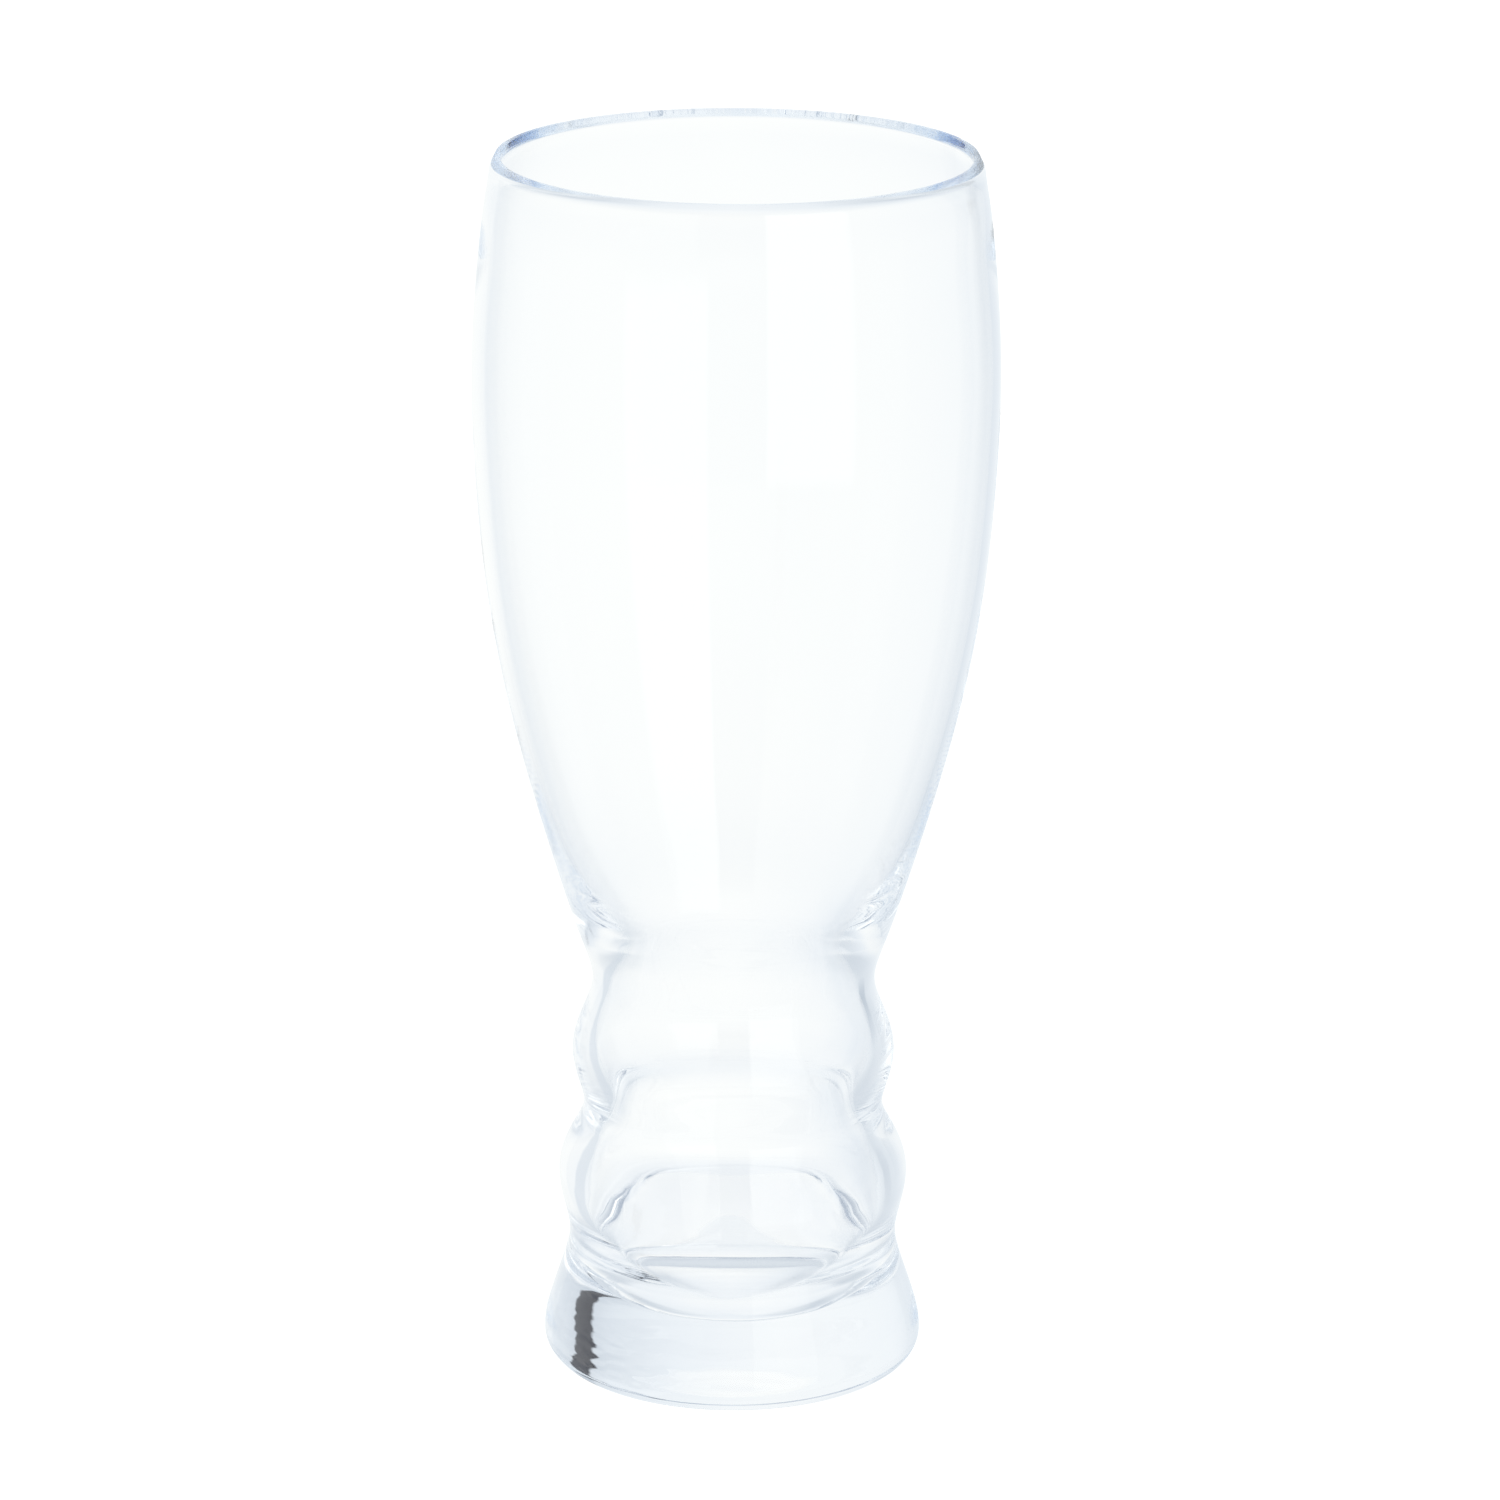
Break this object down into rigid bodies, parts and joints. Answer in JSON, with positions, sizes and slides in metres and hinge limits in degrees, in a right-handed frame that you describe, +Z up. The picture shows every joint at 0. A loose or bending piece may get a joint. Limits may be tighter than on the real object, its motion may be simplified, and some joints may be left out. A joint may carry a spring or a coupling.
{
  "type": "beer glass",
  "caption": "Tall footed beer glass with two soft rings above a thick flared foot, a narrow waist and a long belly closing to the mouth.",
  "frame": {"origin": "centre of the circle that the foot stands on", "axes": "+Z up along the axis of the glass, from the foot to the mouth"},
  "size_m": [0.0815, 0.0816, 0.195],
  "materials": {
    "clear_glass": "polished"
  },
  "bodies": {
    "root": {"glass_body": "clear_glass"}
  },
  "joints": []
}
